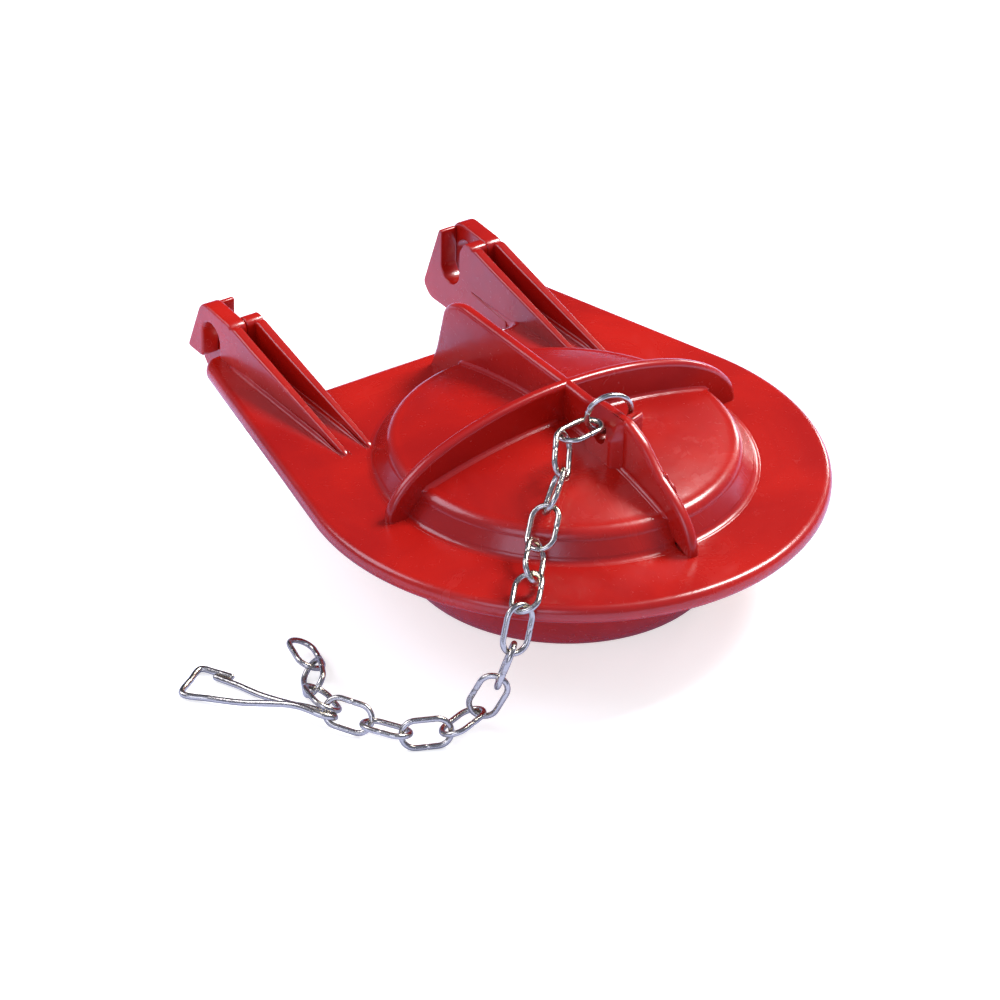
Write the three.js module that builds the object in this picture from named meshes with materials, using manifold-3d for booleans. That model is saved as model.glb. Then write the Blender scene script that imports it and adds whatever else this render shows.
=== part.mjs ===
// Rubber flapper for a cistern's 51 mm flush valve, lying on its bell, with its lift chain and clip.
// Millimetres, +Z up, +Y to the arms. The part is drawn about the bell's axis and put on its
// footprint's middle at the end.
import * as THREE from 'three';
import { mergeVertices } from 'three/addons/utils/BufferGeometryUtils.js';
import Module from 'manifold-3d';

const wasm = await Module();
wasm.setup();

// Flange: the round seal, whose straight sides run back to two lobes under the arms
const flangeRadius = 41.8;
const flangeThickness = 3;
const flangeTop = 18.9;
const flangeLip = 0.9;
const flangeRearEdge = 38.2;
const lobeOverhang = 3.1;
const lobeRear = 56.6;
const lobeCorner = 3.4;
const lobeSetback = 0.15;

// Hub: the raised domed middle, and the hollow bell below it
const hubHeight = 3.8;
const hubDomeRise = 4.2;
const hubFootRadius = 29.4;
const hubTopRadius = 27.9;
const hubShoulder = 1.4;
const bellMouthRadius = 23.6;
const bellTopRadius = 30;
const bellFullness = 1.5;
const bellWall = 2.2;
const hubWall = 2.6;
const hubRoot = 0.5;
const hollowRoofRadius = 24.6;

// Ribs that cross on the hub
const ribThickness = 1.9;
const ribHeight = 14.1;
const ribReach = 33.4;
const ribFullness = 2;
const ribRoot = 1.5;
const backRibHeight = 14.3;
const backRibTopEnd = 27.6;
const backRibShoulder = 32.2;
const backRibShoulderHeight = 11.6;
const backRibFoot = 35.4;
const backRibCornerReach = 2.8;
const backRibCornerDrop = 1;
const backRibBulge = 1.4;

// Boss on the front rib: a cheek on each side of the rib, and the hole that the ring goes through
const bossHeight = 15;
const bossRoot = 5.7;
const bossFront = 16;
const leftCheekReach = 2.7;
const leftCheekCorner = 14.7;
const leftCheekRear = 8.4;
const leftCheekShoulder = 11.4;
const rightCheekReach = 3.2;
const rightCheekCorner = 15.4;
const rightCheekRear = 14.2;
const bossRampStart = 6.2;
const bossRampEnd = 9.2;
const frontSlopeKnee = 20;
const frontSlopeKneeHeight = 13.4;
const frontSlopeEnd = 23.2;
const ringHolePlace = 12.1;
const ringHoleHeight = 11.4;
const ringHoleRadius = 1.5;

// Arms: two webs with a channel between them, and a head with two half hooks for the peg
const armsLean = -2.1;
const armGap = 40.8;
const armWidth = 6.3;
const webThickness = 1.8;
const webFront = 18.2;
const webFrontHeight = 0.4;
const webFrontRound = 0.9;
const webKnee = 46.3;
const webKneeHeight = 6.3;
const headFront = 51.3;
const headFrontHeight = 7.5;
const headTopRear = 60.8;
const headHeight = 8;
const hookRear = 65.2;
const outerHookUnderside = -2.4;
const innerHookUnderside = -7.3;
const innerHookRear = 63.7;
const innerHookSpur = 65.6;
const innerHookSpurHeight = -5.2;
const innerHookKeel = 50;
const innerHookFront = 40;
const innerHookFrontHeight = -2.6;
const prongHeight = 6.8;
const prongTop = 0.9;
const pegSlotWidth = 5.2;
const pegSlotCentre = 57.7;
const pegSlotOuterTop = 5.1;
const pegSlotInnerBottom = -1.8;
const pegSlotLead = 1.5;

// Ring through the front rib
const wireDiameter = 0.9;
const ringRadius = 3.5;
const ringTurn = 17.7;
const ringLean = 9.2;
const ringSlip = 1.15;

// Chain of oval links and the bent wire clip on it
const linkPitch = 6.3;
const linkWidth = 5.2;
const linkPlay = 0.24;
const liftOutward = 0.3;
const clipWire = 1;

// Facets
const discFacets = 72;
const hubFacets = 60;
const bendFacets = 5;
const wireFacets = 6;
const linkFacets = 18;
const ringFacets = 24;
const clipSteps = 54;

// How far a cutting shape passes the solid that it cuts
const cutMargin = 1;

// Where the chain lies: from the ring over the flange's edge to its free end on the floor
const chainRoute = [
  [-3.3, -12, 32.5], [-9.9, -12.6, 32.3], [-13.4, -16.8, 29.4], [-17.6, -19.8, 26.8], [-21.8, -23.2, 23.4],
  [-26.6, -28, 22], [-31.4, -32.4, 19.8], [-33.6, -33, 13.6], [-34.8, -31.2, 7.6], [-37.2, -29.8, 3],
  [-43.2, -31, 2.5], [-48.8, -28, 2.6], [-51.6, -22.4, 2.4], [-54.8, -17.8, 3.3], [-53.8, -11.8, 2.6],
  [-50.8, -6.6, 2.3], [-48.8, -0.4, 2.3], [-48, 8, 2.3],
];
// How far each link is rolled about the chain, from lying across it
const linkRolls = [20, -62, 65, 15, -60, 20, -50, 40, -55, 28, -60, 35, -45, 45, -40, 40];

// The clip's wire: from its lapped end round the head, along the lower side to the tail and back
const clipRoute = [
  [-60.6, 0.2, 0.7], [-62.2, 3, 0.7], [-63.6, 4.9, 0.7], [-66.2, 3.4, 0.7], [-69.2, 1, 0.7],
  [-66.6, -2.4, 0.8], [-63.4, -7, 1.5], [-60.8, -10.8, 2.6], [-59, -13.8, 3.4], [-57.9, -16, 3.5],
  [-56.9, -17.7, 3.2], [-55.7, -18.5, 2.8], [-54.7, -18.4, 2.2], [-54.4, -17.5, 1.9], [-54.8, -16.2, 1.8],
  [-56.2, -13.8, 1.8], [-57.8, -11, 1.5], [-59.8, -5.8, 0.8], [-61.2, -1.8, 0.7], [-63, 2.2, 0.7],
];

const xAxis = new THREE.Vector3(1, 0, 0);
const yAxis = new THREE.Vector3(0, 1, 0);
const zAxis = new THREE.Vector3(0, 0, 1);

const flangeUnder = flangeTop - flangeThickness;
const hubTop = flangeTop + hubHeight;
const rubber = new THREE.MeshStandardMaterial({ color: '#ad2a1e', roughness: 0.34, metalness: 0 });
const steel = new THREE.MeshStandardMaterial({ color: '#b4b2ac', roughness: 0.28, metalness: 1 });

// A closed geometry as a solid that can be joined and cut.
function solidOf(geometry) {
  const bare = geometry.clone();
  bare.deleteAttribute('normal');
  bare.deleteAttribute('uv');
  const merged = mergeVertices(bare, 1e-4);
  return new wasm.Manifold(new wasm.Mesh({
    numProp: 3,
    vertProperties: merged.attributes.position.array,
    triVerts: new Uint32Array(merged.index.array),
  }));
}

function geometryOf(solid) {
  const mesh = solid.getMesh();
  const geometry = new THREE.BufferGeometry();
  geometry.setAttribute('position', new THREE.BufferAttribute(mesh.vertProperties, 3));
  geometry.setIndex(new THREE.BufferAttribute(mesh.triVerts, 1));
  geometry.computeVertexNormals();
  return geometry;
}

function outlineOf(points) {
  return new THREE.Shape(points.map(([across, up]) => new THREE.Vector2(across, up)));
}

// An outline drawn in (Y, height over the flange), thickened along X from one face to the other.
function plateAcrossX(points, fromX, toX) {
  const depth = toX - fromX;
  const geometry = new THREE.ExtrudeGeometry(outlineOf(points), { depth, bevelEnabled: false });
  geometry.applyMatrix4(new THREE.Matrix4().makeBasis(yAxis, zAxis, xAxis));
  geometry.translate(fromX, 0, flangeTop);
  return solidOf(geometry);
}

// A rod along X through (Y, height over the flange).
function rodAlongX(radius, place, height, length) {
  const geometry = new THREE.CylinderGeometry(radius, radius, length, linkFacets);
  geometry.rotateZ(Math.PI / 2);
  geometry.translate(0, place, flangeTop + height);
  return solidOf(geometry);
}

// Points on a round, from one angle to another in degrees.
function arcPoints(centreX, centreY, radius, fromAngle, toAngle, facets) {
  const points = [];
  for (let step = 0; step <= facets; step += 1) {
    const angle = THREE.MathUtils.degToRad(fromAngle + ((toAngle - fromAngle) * step) / facets);
    points.push([centreX + radius * Math.cos(angle), centreY + radius * Math.sin(angle)]);
  }
  return points;
}

// Where a straight side leaves the round front for a lobe's corner this far out, in degrees.
function sideTouch(lobeCentreX) {
  const lobeCentreY = lobeRear - lobeCorner;
  const reach = Math.hypot(lobeCentreX, lobeCentreY);
  const turn = Math.atan2(lobeCentreY, lobeCentreX) - Math.acos((flangeRadius - lobeCorner) / reach);
  return THREE.MathUtils.radToDeg(turn);
}

// The flange seen from above, drawn smaller by inset all round.
function flangeOutline(inset) {
  const lobeReach = armGap / 2 + armWidth + lobeOverhang - lobeCorner;
  const lobeCentreY = lobeRear - lobeCorner;
  const radius = flangeRadius - inset;
  const corner = lobeCorner - inset;
  const rightTouch = sideTouch(lobeReach + armsLean);
  const leftTouch = sideTouch(lobeReach - armsLean);
  const rightInside = armsLean + armGap / 2 + lobeSetback + inset;
  const leftInside = armsLean - armGap / 2 - lobeSetback - inset;
  return [
    ...arcPoints(0, 0, radius, 180 - leftTouch, 360 + rightTouch, discFacets),
    ...arcPoints(armsLean + lobeReach, lobeCentreY, corner, rightTouch, 90, bendFacets),
    [rightInside, lobeRear - inset],
    [rightInside, flangeRearEdge - inset],
    [leftInside, flangeRearEdge - inset],
    [leftInside, lobeRear - inset],
    ...arcPoints(armsLean - lobeReach, lobeCentreY, corner, 90, 180 - leftTouch, bendFacets),
  ];
}

function flangeSolid() {
  const geometry = new THREE.ExtrudeGeometry(outlineOf(flangeOutline(flangeLip)), {
    depth: flangeThickness - 2 * flangeLip,
    bevelThickness: flangeLip,
    bevelSize: flangeLip,
    bevelSegments: 2,
  });
  geometry.translate(0, 0, flangeUnder + flangeLip);
  return solidOf(geometry);
}

// Height of the hub's dome at this distance from the axis.
function domeHeight(radius) {
  return hubTop + hubDomeRise * (1 - (radius / hubTopRadius) ** 2);
}

// The bell's side from the flange down to the mouth, drawn smaller by inset.
function bellSide(inset) {
  const steps = 7;
  const points = [];
  for (let step = 0; step <= steps; step += 1) {
    const turn = (Math.PI / 2) * (step / steps);
    const swell = Math.cos(turn) ** bellFullness;
    const radius = bellMouthRadius + (bellTopRadius - bellMouthRadius) * swell - inset;
    points.push([radius, flangeUnder * (1 - Math.sin(turn))]);
  }
  return points;
}

function turned(points) {
  const profile = points.map(([radius, height]) => new THREE.Vector2(radius, height)).reverse();
  const geometry = new THREE.LatheGeometry(profile, hubFacets);
  geometry.rotateX(Math.PI / 2);
  return solidOf(geometry);
}

function hubSolid() {
  const domeEdge = hubTopRadius - hubShoulder;
  const dome = [0, 0.25, 0.5, 0.75].map((part) => [part * domeEdge, domeHeight(part * domeEdge)]);
  const shoulder = arcPoints(domeEdge, domeHeight(domeEdge) - hubShoulder, hubShoulder, 90, 10, bendFacets);
  const waist = [[hubFootRadius + hubRoot / 2, flangeTop - hubRoot], [bellTopRadius, flangeUnder + hubRoot]];
  return turned([...dome, ...shoulder, ...waist, ...bellSide(0).slice(1), [0, 0]]);
}

// The hollow of the bell, open at the mouth.
function hollowSolid() {
  const parts = [0, 0.25, 0.5, 0.75, 1];
  const roof = parts.map((part) => [part * hollowRoofRadius, domeHeight(part * hollowRoofRadius) - hubWall]);
  const mouth = [[bellMouthRadius - bellWall, -cutMargin], [0, -cutMargin]];
  return turned([...roof, ...bellSide(bellWall), ...mouth]);
}

// A rib's rounded end from its foot on the flange up to the middle, as (distance, height).
function ribArch() {
  const steps = 12;
  const points = [];
  for (let step = 0; step <= steps; step += 1) {
    const turn = (Math.PI / 2) * (step / steps);
    const distance = ribReach * Math.cos(turn) ** (2 / ribFullness);
    points.push([distance, ribHeight * Math.sin(turn) ** (2 / ribFullness)]);
  }
  return points;
}

function crossRib() {
  const right = ribArch().slice(1);
  const left = right.slice(0, -1).reverse().map(([distance, height]) => [-distance, height]);
  const outline = [[-ribReach, -ribRoot], [ribReach, -ribRoot], ...right, ...left];
  const rib = plateAcrossX(outline, -ribThickness / 2, ribThickness / 2);
  return rib.rotate([0, 0, -90]);
}

// The long rib, with the rise to the boss and the slope in front of it.
function longRib() {
  const front = ribArch().slice(1, -1).reverse().map(([distance, height]) => [-distance, height]);
  const behindBoss = front.filter(([place]) => place > -bossRampStart);
  const beforeSlope = front.filter(([place]) => place < -frontSlopeEnd);
  const outline = [
    [-ribReach, -ribRoot], [backRibFoot, -ribRoot],
    [backRibShoulder + backRibBulge, backRibShoulderHeight / 2],
    [backRibShoulder, backRibShoulderHeight],
    [backRibTopEnd + backRibCornerReach, backRibHeight - backRibCornerDrop],
    [backRibTopEnd, backRibHeight],
    [0, backRibHeight], ...behindBoss,
    [-bossRampStart, ribHeight], [-bossRampEnd, bossHeight], [-bossFront, bossHeight],
    [-frontSlopeKnee, frontSlopeKneeHeight], ...beforeSlope,
  ];
  return plateAcrossX(outline, -ribThickness / 2, ribThickness / 2);
}

// One cheek of the boss: its outline from above, cut to its outline from the front.
function cheek(fromAbove, fromFront) {
  const tall = new THREE.ExtrudeGeometry(outlineOf(fromAbove), {
    depth: bossHeight - bossRoot,
    bevelEnabled: false,
  });
  tall.translate(0, 0, flangeTop + bossRoot);
  const deep = new THREE.ExtrudeGeometry(outlineOf(fromFront), {
    depth: flangeRadius,
    bevelEnabled: false,
  });
  deep.rotateX(Math.PI / 2);
  deep.translate(0, 0, flangeTop);
  return solidOf(tall).intersect(solidOf(deep));
}

function bossSolid() {
  const middle = ribThickness / 2;
  const core = middle / 2;
  const above = bossHeight + cutMargin;
  const beside = rightCheekReach + cutMargin;
  const left = cheek(
    [
      [-leftCheekReach, -leftCheekRear], [-leftCheekReach, -leftCheekCorner], [-middle, -bossFront],
      [-core, -bossFront], [-core, -leftCheekRear],
    ],
    [
      [-leftCheekReach, 0], [core, 0], [core, above], [-middle, bossHeight],
      [-leftCheekReach, leftCheekShoulder],
    ],
  );
  const right = cheek(
    [
      [rightCheekReach, -rightCheekRear], [core, -rightCheekRear], [core, -bossFront],
      [middle, -bossFront], [rightCheekReach, -rightCheekCorner],
    ],
    [[0, 0], [beside, 0], [beside, above], [0, above]],
  );
  return left.add(right);
}

// One web of an arm, from its round front end up to the head.
function webOutline() {
  const inHead = headFront + ribRoot;
  return [
    [webFront, -ribRoot], [inHead, -ribRoot / 2], [inHead, webKneeHeight], [headFront, headFrontHeight],
    [webKnee, webKneeHeight], [webFront + webFrontRound, webFrontHeight],
  ];
}

// The half of the head with the slot open below.
function outerHookOutline() {
  const radius = pegSlotWidth / 2;
  return [
    [headFront, -ribRoot], [pegSlotCentre - radius, -ribRoot],
    ...arcPoints(pegSlotCentre, pegSlotOuterTop - radius, radius, 180, 0, 2 * bendFacets),
    [pegSlotCentre + radius, outerHookUnderside], [hookRear, outerHookUnderside],
    [headTopRear, headHeight], [headFront, headFrontHeight],
  ];
}

// The half of the head with the slot open above and a prong behind it.
function innerHookOutline() {
  const radius = pegSlotWidth / 2;
  const slotFront = pegSlotCentre - radius;
  const slotRear = pegSlotCentre + radius;
  return [
    [headFront, headFrontHeight], [headFront, -ribRoot / 2], [innerHookFront, innerHookFrontHeight],
    [innerHookKeel, innerHookUnderside], [innerHookRear, innerHookUnderside],
    [innerHookSpur, innerHookSpurHeight], [slotRear + prongTop, prongHeight], [slotRear, prongHeight],
    ...arcPoints(pegSlotCentre, pegSlotInnerBottom + radius, radius, 0, -180, 2 * bendFacets),
    [slotFront, prongHeight - pegSlotLead], [slotFront - pegSlotLead, headFrontHeight + 0.2],
  ];
}

// One arm; side is 1 for the right one and -1 for the left one.
function armSolid(side) {
  const inner = armGap / 2;
  const outer = inner + armWidth;
  const split = inner + armWidth / 2;
  const plate = (points, near, far) => {
    const edges = [side * near, side * far].sort((first, second) => first - second);
    return plateAcrossX(points, edges[0], edges[1]);
  };
  const arm = plate(webOutline(), inner, inner + webThickness)
    .add(plate(webOutline(), outer - webThickness, outer))
    .add(plate(innerHookOutline(), inner, split))
    .add(plate(outerHookOutline(), split, outer));
  return arm.translate([armsLean, 0, 0]);
}

// What the outer half's slot takes away from the lobe below it.
function lobeCut(side) {
  const split = armGap / 2 + armWidth / 2;
  const rear = pegSlotCentre - pegSlotWidth / 2;
  const below = -flangeThickness - cutMargin;
  const beyond = lobeRear + cutMargin;
  const outline = [[rear, below], [beyond, below], [beyond, cutMargin], [rear, cutMargin]];
  const edges = [side * split, side * (armGap + armWidth)].sort((first, second) => first - second);
  return plateAcrossX(outline, edges[0] + armsLean, edges[1] + armsLean);
}

function flapperBody() {
  return flangeSolid()
    .subtract(lobeCut(1)).subtract(lobeCut(-1))
    .add(hubSolid())
    .add(crossRib())
    .add(longRib())
    .subtract(hollowSolid())
    .add(bossSolid())
    .subtract(rodAlongX(ringHoleRadius, -ringHolePlace, ringHoleHeight, 2 * rightCheekReach))
    .add(armSolid(1)).add(armSolid(-1));
}

// An oval of round wire: a ring pulled out lengthwise by straight.
function ovalLink(straight, endRadius) {
  const geometry = new THREE.TorusGeometry(endRadius, wireDiameter / 2, wireFacets, linkFacets);
  geometry.rotateZ(Math.PI / 2);
  const position = geometry.attributes.position;
  for (let index = 0; index < position.count; index += 1) {
    const x = position.getX(index);
    position.setX(index, x + (Math.sign(x) * straight) / 2);
  }
  return geometry;
}

// Places along the route at equal straight distances.
function equalSteps(points, distance, count) {
  const curve = new THREE.CatmullRomCurve3(points);
  const stops = [points[0].clone()];
  const samples = curve.getPoints(4000);
  for (const sample of samples) {
    if (stops.length <= count && sample.distanceTo(stops[stops.length - 1]) >= distance) {
      stops.push(sample.clone());
    }
  }
  return stops;
}

// A link's turn: its length runs from stop to stop and its plane is rolled from facing up and out.
function linkTurn(from, to, roll) {
  const along = to.clone().sub(from).normalize();
  const outward = new THREE.Vector3(from.x, from.y, 0).normalize();
  const lift = zAxis.clone().addScaledVector(outward, liftOutward);
  lift.addScaledVector(along, -lift.dot(along)).normalize();
  const across = lift.clone().cross(along);
  const flat = new THREE.Matrix4().makeBasis(along, across, lift);
  const rolled = new THREE.Quaternion().setFromAxisAngle(xAxis, THREE.MathUtils.degToRad(roll));
  return new THREE.Quaternion().setFromRotationMatrix(flat).multiply(rolled);
}

const group = new THREE.Group();

function addNode(name, geometry, material) {
  const mesh = new THREE.Mesh(geometry, material.clone());
  mesh.name = name;
  group.add(mesh);
  return mesh;
}

addNode('flapper_body', geometryOf(flapperBody()), rubber);

const ringGeometry = new THREE.TorusGeometry(ringRadius, wireDiameter / 2, wireFacets, ringFacets);
ringGeometry.rotateX(Math.PI / 2);
const ring = addNode('chain_ring', ringGeometry, steel);
ring.rotation.set(THREE.MathUtils.degToRad(ringLean), 0, THREE.MathUtils.degToRad(-ringTurn));
const ringInHole = new THREE.Vector3(ringSlip, 0, -Math.sqrt(ringRadius ** 2 - ringSlip ** 2));
ring.position.set(0, -ringHolePlace, flangeTop + ringHoleHeight).sub(ringInHole.applyEuler(ring.rotation));

const linkStraight = linkPitch + wireDiameter + linkPlay - (linkWidth - wireDiameter);
const linkGeometry = ovalLink(linkStraight, (linkWidth - wireDiameter) / 2);
const chainPoints = chainRoute.map((stop) => new THREE.Vector3(...stop));
const chainStops = equalSteps(chainPoints, linkPitch, linkRolls.length);
linkRolls.forEach((roll, index) => {
  const [from, to] = [chainStops[index], chainStops[index + 1]];
  const link = addNode(`chain_link_${String(index + 1).padStart(2, '0')}`, linkGeometry, steel);
  link.quaternion.copy(linkTurn(from, to, roll));
  link.position.copy(from).lerp(to, 0.5);
});

const clipCurve = new THREE.CatmullRomCurve3(clipRoute.map((point) => new THREE.Vector3(...point)));
const clipRound = new THREE.Shape(
  arcPoints(0, 0, clipWire / 2, 0, 360, wireFacets).slice(0, -1).map(([x, y]) => new THREE.Vector2(x, y)),
);
const clipGeometry = new THREE.ExtrudeGeometry(clipRound, { steps: clipSteps, extrudePath: clipCurve });
addNode('chain_clip', clipGeometry, steel);

const footprint = new THREE.Box3().setFromObject(group, true).getCenter(new THREE.Vector3());
group.children.forEach((mesh) => mesh.position.sub(new THREE.Vector3(footprint.x, footprint.y, 0)));

export default group;
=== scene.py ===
"""Looks of a red rubber toilet flapper with its steel lift chain, dressed over its CAD.

Lengths named in this file are millimetres about the bell's axis, with z = 0 at the bell's mouth
and +Y towards the arms. `Place` carries them into the row frame's metres.
"""

import logging
import math
from dataclasses import dataclass, field
from enum import Enum
from typing import ClassVar

import bmesh
import bpy
import numpy as np
from mathutils import Matrix, Vector

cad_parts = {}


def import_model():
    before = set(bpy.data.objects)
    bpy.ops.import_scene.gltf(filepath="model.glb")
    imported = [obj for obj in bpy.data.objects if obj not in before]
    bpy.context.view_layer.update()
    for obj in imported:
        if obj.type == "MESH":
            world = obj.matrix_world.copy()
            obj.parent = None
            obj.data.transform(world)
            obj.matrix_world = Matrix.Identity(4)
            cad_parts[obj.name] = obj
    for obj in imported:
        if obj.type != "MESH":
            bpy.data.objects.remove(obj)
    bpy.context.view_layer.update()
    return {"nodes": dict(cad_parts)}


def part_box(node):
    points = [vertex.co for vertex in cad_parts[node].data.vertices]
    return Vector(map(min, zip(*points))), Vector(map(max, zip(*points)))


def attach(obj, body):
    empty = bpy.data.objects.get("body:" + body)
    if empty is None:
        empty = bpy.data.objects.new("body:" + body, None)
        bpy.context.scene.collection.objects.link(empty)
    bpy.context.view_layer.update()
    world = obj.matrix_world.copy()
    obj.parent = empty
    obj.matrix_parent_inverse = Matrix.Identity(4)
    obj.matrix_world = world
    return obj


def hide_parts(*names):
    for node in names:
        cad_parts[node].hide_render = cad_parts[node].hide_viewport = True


Piece = bpy.types.Object
Socket = bpy.types.NodeSocket
Points = np.ndarray

log = logging.getLogger("flapper")

MM = 0.001
BODY_NODE = "flapper_body"
WHITE = (1.0, 1.0, 1.0, 1.0)
MERGE = 1e-7
FLANGE_TOP = 18.9


class Slot(Enum):
    """The two finishes: rubber and steel."""

    RUBBER = "rubber"
    STEEL = "steel"


class Signal:
    """A shader socket that adds, subtracts and multiplies like a number."""

    def __init__(self, wiring: "Wiring", socket: Socket) -> None:
        """Wraps a socket of this wiring."""
        self.wiring = wiring
        self.socket = socket

    def _math(self, operation: str, *terms: "Signal | float") -> "Signal":
        """The result of one Math node with these terms as its inputs."""
        made = self.wiring.node("ShaderNodeMath", {"operation": operation}, dict(enumerate(terms)))
        return Signal(self.wiring, made.outputs[0])

    def __add__(self, other: "Signal | float") -> "Signal":
        """This plus the other."""
        return self._math("ADD", self, other)

    def __radd__(self, other: float) -> "Signal":
        """The other plus this."""
        return self._math("ADD", other, self)

    def __sub__(self, other: "Signal | float") -> "Signal":
        """This less the other."""
        return self._math("SUBTRACT", self, other)

    def __rsub__(self, other: float) -> "Signal":
        """The other less this."""
        return self._math("SUBTRACT", other, self)

    def __mul__(self, other: "Signal | float") -> "Signal":
        """This times the other."""
        return self._math("MULTIPLY", self, other)

    def __rmul__(self, other: float) -> "Signal":
        """The other times this."""
        return self._math("MULTIPLY", other, self)

    def ramp(self, low: float, high: float) -> "Signal":
        """0 below low and 1 above high, smooth between.

        Args:
            low: Where the ramp starts.
            high: Where the ramp ends.

        Returns:
            The ramp's value.
        """
        inputs = {"Value": self, "From Min": low, "From Max": high}
        made = self.wiring.node("ShaderNodeMapRange", {"interpolation_type": "SMOOTHSTEP"}, inputs)
        return Signal(self.wiring, made.outputs["Result"])


class Wiring:
    """Builds the nodes of one tree."""

    def __init__(self, tree: bpy.types.NodeTree) -> None:
        """Takes the tree that the nodes go into."""
        self.tree = tree

    def node(
        self, kind: str, settings: dict | None = None, inputs: dict | None = None,
    ) -> bpy.types.Node:
        """One node of any type.

        Args:
            kind: The node's type name.
            settings: Node settings, which are made before its inputs are filled.
            inputs: Values, signals or sockets for its inputs, by name or by number.

        Returns:
            The node.
        """
        made = self.tree.nodes.new(kind)
        for name, value in (settings or {}).items():
            setattr(made, name, value)
        for name, value in (inputs or {}).items():
            self.feed(made.inputs[name], value)
        return made

    def feed(self, slot: Socket, value: object) -> None:
        """Fills an input with a signal, a socket or a plain value.

        Args:
            slot: The input.
            value: The signal, socket or plain value that goes into it.
        """
        if isinstance(value, Signal):
            self.tree.links.new(value.socket, slot)
        elif isinstance(value, Socket):
            self.tree.links.new(value, slot)
        else:
            slot.default_value = value

    def mix(self, share: Signal | float, first: object, second: object) -> Socket:
        """The colour this share of the way from first to second."""
        made = self.node("ShaderNodeMix", {"data_type": "RGBA"}, {0: share, 6: first, 7: second})
        return made.outputs[2]

    def where_glossy(self, shown: bpy.types.Node, mirrored: bpy.types.Node, end: str) -> None:
        """Ends the tree in one shader as it is seen and another one as shiny things mirror it.

        Args:
            shown: The shader that is seen.
            mirrored: The shader that shiny things mirror.
            end: The name of the tree's output node.
        """
        glossy = self.node("ShaderNodeLightPath").outputs["Is Glossy Ray"]
        inputs = {0: glossy, 1: shown.outputs[0], 2: mirrored.outputs[0]}
        both = self.node("ShaderNodeMixShader", inputs=inputs)
        self.feed(self.tree.nodes[end].inputs["Surface"], both.outputs[0])


class Maker(Wiring):
    """Builds one material's nodes."""

    def __init__(self, name: str) -> None:
        """Makes an empty material with nodes.

        Args:
            name: The material's name.
        """
        self.material = bpy.data.materials.new(name)
        self.material.use_nodes = True
        super().__init__(self.material.node_tree)
        self.surface = self.tree.nodes["Principled BSDF"]
        self.place = self.node("ShaderNodeTexCoord").outputs["Object"]

    def noise(self, scale: float, detail: float, roughness: float = 0.5, warp: float = 0.0) -> Signal:
        """Noise from 0 to 1 over the piece's own coordinates.

        Args:
            scale: Cycles per metre.
            detail: Octaves.
            roughness: How strong the finer octaves are.
            warp: How far the pattern is pulled about by itself.

        Returns:
            The noise, about 0.5.
        """
        inputs = {"Vector": self.place, "Scale": scale, "Detail": detail}
        inputs |= {"Roughness": roughness, "Distortion": warp}
        return Signal(self, self.node("ShaderNodeTexNoise", inputs=inputs).outputs["Fac"])

    def relief(self, layers: list) -> Socket:
        """Relief from height signals laid over each other.

        Args:
            layers: Each layer's height from 0 to 1, and what a height of 1 stands for in metres.

        Returns:
            The normal.
        """
        below = {}
        for height, distance in layers:
            made = self.node("ShaderNodeBump", inputs={"Height": height, "Distance": distance, **below})
            below = {"Normal": made.outputs["Normal"]}
        return below["Normal"]

    def dress(self, **inputs: object) -> bpy.types.Material:
        """Fills the surface shader's inputs, whose names have spaces for underscores.

        Args:
            inputs: The inputs' values, signals or sockets.

        Returns:
            The material.
        """
        for name, value in inputs.items():
            self.feed(self.surface.inputs[name.replace("_", " ")], value)
        return self.material


@dataclass(frozen=True)
class Rubber:
    """Glossy moulded rubber, a little uneven and lightly used.

    A noise is (cycles per metre, octaves, roughness, warp), and seen between two of its values.
    """

    name: str = "red rubber"
    fresh: tuple = (0.36, 0.0055, 0.0015, 1)
    deep: tuple = (0.25, 0.0035, 0.0025, 1)
    bloom: tuple = (0.38, 0.035, 0.035, 1)
    gloss: float = 0.22
    dull: float = 0.16
    coat: float = 0.14
    clouds: tuple = (40, 4, 0.55, 0.6)
    clouds_seen: tuple = (0.25, 0.75)
    patches: tuple = (110, 5, 0.6, 0.8)
    patches_seen: tuple = (0.56, 0.8)
    scuffs: tuple = (380, 6, 0.7, 2.5)
    scuffs_seen: tuple = (0.6, 0.74)
    reliefs: tuple = (((70, 2, 0.4), 0.00035), ((380, 3), 0.00004), ((1500, 4, 0.6), 0.000006))

    def make(self) -> bpy.types.Material:
        """Builds the material.

        Returns:
            Red rubber: clouded colour, pale bloom in patches, uneven gloss, soft dimples and scuffs.
        """
        maker = Maker(self.name)
        clouds = maker.noise(*self.clouds)
        patches = maker.noise(*self.patches).ramp(*self.patches_seen)
        scuffs = maker.noise(*self.scuffs).ramp(*self.scuffs_seen)
        colour = maker.mix(clouds.ramp(*self.clouds_seen), self.deep, self.fresh)
        colour = maker.mix(patches * 0.12 + scuffs * 0.06, colour, self.bloom)
        roughness = self.gloss + clouds * self.dull * 0.5 + patches * self.dull * 0.5 + scuffs * 0.1
        relief = maker.relief([(maker.noise(*noise), distance) for noise, distance in self.reliefs])
        return maker.dress(
            Base_Color=colour, Roughness=roughness, Normal=relief, IOR=1.5, Specular_IOR_Level=0.5,
            Coat_Weight=self.coat - patches * 0.1, Coat_Roughness=0.1, Coat_IOR=1.5,
        )


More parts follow.
